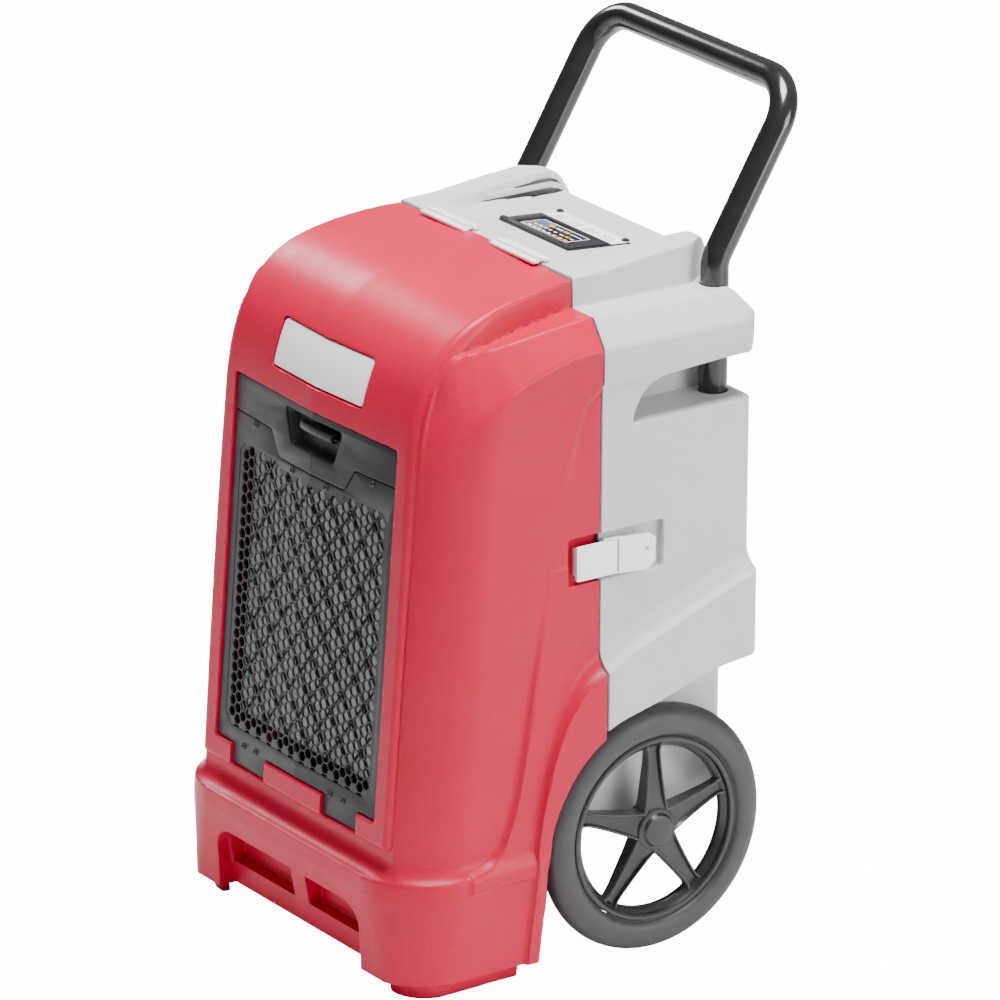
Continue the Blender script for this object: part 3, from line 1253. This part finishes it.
# ------------------------------------------------------------------ handle
handle = [(HANDLE_X, HANDLE_Y, 381), (HANDLE_X, HANDLE_Y, 685.4), (HANDLE_X, 255.1, 845.1)]
handle += [(-x, y, z) for x, y, z in reversed(handle)]
path = [handle[0]]
for i, bend_radius in enumerate((34, 44, 44, 34)):
    path += fillet(*handle[i:i + 3], bend_radius, 20)
path.append(handle[-1])
piece("push_handle_tube", sweep(path, 14.0, 48), GLOSS, "handle", 40,
      "handle_tube")

# ------------------------------------------------------------------ hinges on the top
PIN_AXIS = (0, 697.0)                    # Y, Z


def hinge_leaf(centre, way, spans):
    """A leaf on one side of the seam (way is the sign of Y), with a knuckle over each span."""
    leaf = plate([rounded([(centre - 38, 2.9), (centre + 38, 2.9), (centre + 38, 10.5),
                           (centre - 38, 10.5)], [0.4, 0.4, 2.0, 2.0], 5)], 3.0, 0.4, 2)
    parts = [placed(leaf, lambda x, y, z: (x, way * y, 693.9 + z))]
    for start, end in spans:
        x0, x1 = centre + start, centre + end
        parts.append(revolve_x([(2.6, x0 + 0.3), (2.6, x1 - 0.3), (2.4, x1), (1.7, x1),
                                (1.7, x0), (2.4, x0)], PIN_AXIS, 28))
        parts.append(loft([[(x0, way * near, z), (x1, way * near, z), (x1, way * 4.0, z),
                            (x0, way * 4.0, z)] for near, z in ((1.6, 694.2), (2.0, 695.8))]))
    return parts


for side, sign in SIDES:
    centre = 60.0 * sign
    front = hinge_leaf(centre, -1, ((-13.4, 13.4),))
    rear = hinge_leaf(centre, 1, ((-36, -14), (14, 36)))
    rear.append(revolve_x([(0, centre - 36.4), (1.5, centre - 36.4), (1.5, centre + 36.4),
                           (0, centre + 36.4)], PIN_AXIS, 20))
    for part, body, shapes in (("front", "front_shell", front), ("rear", "root", rear)):
        node = "hinge_%s_leaf_%s" % (part, side)
        piece(node + "_fine", merge(*shapes), HINGE_STEEL, body, 34, node)

# ------------------------------------------------------------------ control panel
# Panel shapes are drawn flat as (x, distance back from the front edge, height).
TILT = math.atan(DECK_SLOPE)
PANEL_Y, PANEL_Z = 57.0, 685.9           # the panel's front edge
KEY_X = (-40.0, -13.5, 13.5, 40.0)
KEY_BACK = 60.5                          # distance of the keys' centres behind the front edge


def on_deck(shape, lift=0.0):
    cos, sin = math.cos(TILT), math.sin(TILT)
    return placed(shape, lambda x, back, up: (x, PANEL_Y + back * cos + (up + lift) * sin,
                                              PANEL_Z - back * sin + (up + lift) * cos))


def panel_plate(loops, thick, edge, lift, res=1):
    return on_deck(plate(loops, thick, edge, res), lift)


def key_loop(x, half_x, half_back, radius):
    return box_loop(x - half_x, KEY_BACK - half_back, x + half_x, KEY_BACK + half_back, radius)


def chips(corners):
    """Thin lit bars on the window, from (x0, back0, x1, back1)."""
    return [on_deck(loft([[(x0, y0, z), (x1, y0, z), (x1, y1, z), (x0, y1, z)]
                          for z in (0.0, 0.14)]), 1.16) for x0, y0, x1, y1 in corners]


tray = panel_plate([box_loop(-61, 0, 61, 75, 3)] + [key_loop(x, 7.2, 5.2, 2.8) for x in KEY_X],
                   4.6, 0.4, -4.4, 2)
bezel = panel_plate([box_loop(-58, 1.6, 58, 50.5, 1.5), box_loop(-46, 9.5, 46, 45, 1.5)],
                    1.6, 0.35, 0.2)
piece("control_panel_housing", merge(tray, bezel), BLACK, "root", 30,
      "control_panel")
piece("display_window_glass", panel_plate([box_loop(-45.8, 9.7, 45.8, 44.8, 1.3)],
                                          0.9, 0.1, 0.25),
      GLASS, "root", 30, "display_window")

white_bars = []
for i in range(5):
    start = i * 8.2
    white_bars += [(-30 + start, 14.0, -25.2 + start, 16.6),
                   (-30 + start, 22.0, -25.6 + start, 24.4)]
white_bars += [(13, 22.0, 19, 24.4), (31, 22.0, 36, 24.4), (-6, 31.6, 4, 34.2),
               (18, 32.4, 36, 33.6)]
border = panel_plate([box_loop(-38, 11.6, 40, 40.6, 0.8), box_loop(-37.1, 12.5, 39.1, 39.7, 0.6)],
                     0.2, 0.05, 1.14, 0)
amber_bars = [(12 + i * 9.0, 14.0, 18 + i * 9.0, 17.2) for i in range(3)]
amber_bars += [(22, 22.0, 28, 25.0), (-18, 31.0, -9, 35.0), (7, 31.0, 15, 35.0)]
for name, shapes, material in (("white", chips(white_bars) + [border], LIT),
                               ("amber", chips(amber_bars), AMBER),
                               ("blue", chips([(-32, 31.4, -26, 36.2)]), BLUE)):
    piece("display_bars_" + name, merge(*shapes), material, "root", 30)

piece("key_strip_plate",
      panel_plate([box_loop(-60, 51.6, 60, 74.4, 2)] + [key_loop(x, 7.5, 5.5, 3) for x in KEY_X],
                  1.0, 0.15, 0.25),
      WHITE, "root", 30, "key_strip")
MARK = finish("grey key mark", srgb(128, 129, 131), rough=0.5, mottle=0.05, mottle_mm=3)
for i, x in enumerate(KEY_X):
    key = "key_%d" % (i + 1)
    piece(key + "_cap", panel_plate([key_loop(x, 6.9, 4.9, 2.6)], 1.7, 0.4, 0.35, 3),
          WHITE, key, 34, key)
    piece(key + "_mark", panel_plate([oval(x, KEY_BACK, r, r, 28) for r in (3.4, 2.3)],
                                     0.16, 0.03, 2.0, 0),
          MARK, key, 34)

# Screws at the corners, with their section as (radius, height)
PANEL_SCREW = [(r, 1.3 + height) for r, height in
               ((4.0, 0), (4.0, 0.9), (3.4, 1.8), (2.2, 2.2), (1.7, 2.2), (1.6, 1.3))]
piece("panel_screws", merge(*(on_deck(button_head(x, back, PANEL_SCREW, 20)) for x, back in
                              ((-56.5, 4.0), (56.5, 4.0), (-56.0, 71.5), (56.0, 71.5)))),
      BLACK, "root", 34)

# ------------------------------------------------------------------ pieces kept from the frame
KEPT = (
    (FOAM, "seam_gasket"),
    (PAINTED, "base_frame compressor accumulator fan_motor"),
    (STEEL, "axle latch_base_left latch_base_right latch_keeper_left latch_keeper_right "
            "run_capacitor"),
    (RUBBER, "front_foot_left front_foot_right drain_hose"),
    (BLACK, "handle_guide_left handle_guide_right electrical_box drip_tray fan_shroud "
            "fan_impeller exhaust_grille condensate_pump drain_outlet power_inlet"),
    (BOARD, "control_board"),
    (FIN, "evaporator_coil condenser_coil"),
    (COPPER, "suction_line discharge_line liquid_line_drier"),
    (WHITE, "pump_float"))
for material, names in KEPT:
    for name in names.split():
        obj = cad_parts[name]
        obj.data.materials.clear()
        obj.data.materials.append(material)
        obj.data.shade_smooth()
        obj.data.set_sharp_from_angle(angle=math.radians(32))
        if name not in ("seam_gasket", "control_board"):
            bevel = obj.modifiers.new("edge", "BEVEL")
            bevel.width = 0.0006
            bevel.segments = 2
            bevel.limit_method = "ANGLE"
            bevel.angle_limit = math.radians(34)

# ------------------------------------------------------------------ floor
bpy.ops.mesh.primitive_plane_add(size=60, location=(0, 0, -0.0005))
floor = bpy.context.object
floor.name = "floor"
pale = finish("pale floor", srgb(250, 250, 250), rough=0.7, mottle=0.004, mottle_mm=900)
# the floor glows white to the camera without lighting the machine
seen = add_node(pale.node_tree, "LightPath").outputs["Is Camera Ray"]
glow = add_node(pale.node_tree, "Math", {0: seen, 1: 14.0}, operation="MULTIPLY")
feed(pale.node_tree.nodes["Principled BSDF"],
     {"Emission Color": (1, 1, 1, 1), "Emission Strength": glow.outputs[0]})
floor.data.materials.append(pale)

# ------------------------------------------------------------------ world and lights
# The sky is brightest overhead and to the right, and dim in front and on the left.
world = bpy.data.worlds.new("studio")
bpy.context.scene.world = world
world.use_nodes = True
sky = world.node_tree
BRIGHT_SIDE = Vector((0.50, 0.30, 0.81)).normalized()
toward = add_node(sky, "VectorMath", {
    0: add_node(sky, "TexCoord").outputs["Generated"], 1: BRIGHT_SIDE}, operation="DOT_PRODUCT")
level = map_range(sky, toward.outputs["Value"], (-0.7, 1.0), (0.08, 1.15))
grey = add_node(sky, "CombineColor", {"Red": level, "Green": level, "Blue": level})
feed(sky.nodes["Background"], {"Strength": 0.55, "Color": grey.outputs["Color"]})


def area(name, place, target, size, watts):
    light = bpy.data.lights.new(name, "AREA")
    light.energy = watts
    light.shape = "RECTANGLE"
    light.size = light.size_y = size
    obj = bpy.data.objects.new(name, light)
    bpy.context.scene.collection.objects.link(obj)
    obj.location = place
    obj.rotation_euler = (Vector(target) - Vector(place)).to_track_quat("-Z", "Y").to_euler()


area("overhead", place=(0.35, 0.05, 2.8), target=(0.05, 0.0, 0.5), size=1.1, watts=158)
area("left", place=(-2.6, -0.1, 2.3), target=(0, -0.1, 0.6), size=0.8, watts=52)
area("side", place=(2.9, 1.5, 1.0), target=(0.1, 0, 0.4), size=1.5, watts=66)

# ------------------------------------------------------------------ camera
# Swing round from the front, rise above the horizon, and roll about the line of sight
swing, rise, roll = math.radians(55.553), math.radians(19.778), math.radians(0.3706)
level_right = Vector((math.cos(swing), math.sin(swing), 0))
back = Vector((math.sin(swing) * math.cos(rise), -math.cos(swing) * math.cos(rise),
               math.sin(rise)))
level_up = back.cross(level_right)
right = level_right * math.cos(roll) + level_up * math.sin(roll)
up = level_up * math.cos(roll) - level_right * math.sin(roll)
place = (6.47446, -4.42064 + SHIFT_Y * MM, 3.24089)
camera = bpy.data.cameras.new("camera")
camera.sensor_width = 36
camera.lens = 305.3
camera.clip_end = 100
camera_obj = bpy.data.objects.new("camera", camera)
bpy.context.scene.collection.objects.link(camera_obj)
camera_obj.matrix_world = Matrix((*zip(right, up, back, place), (0, 0, 0, 1)))
bpy.context.scene.camera = camera_obj
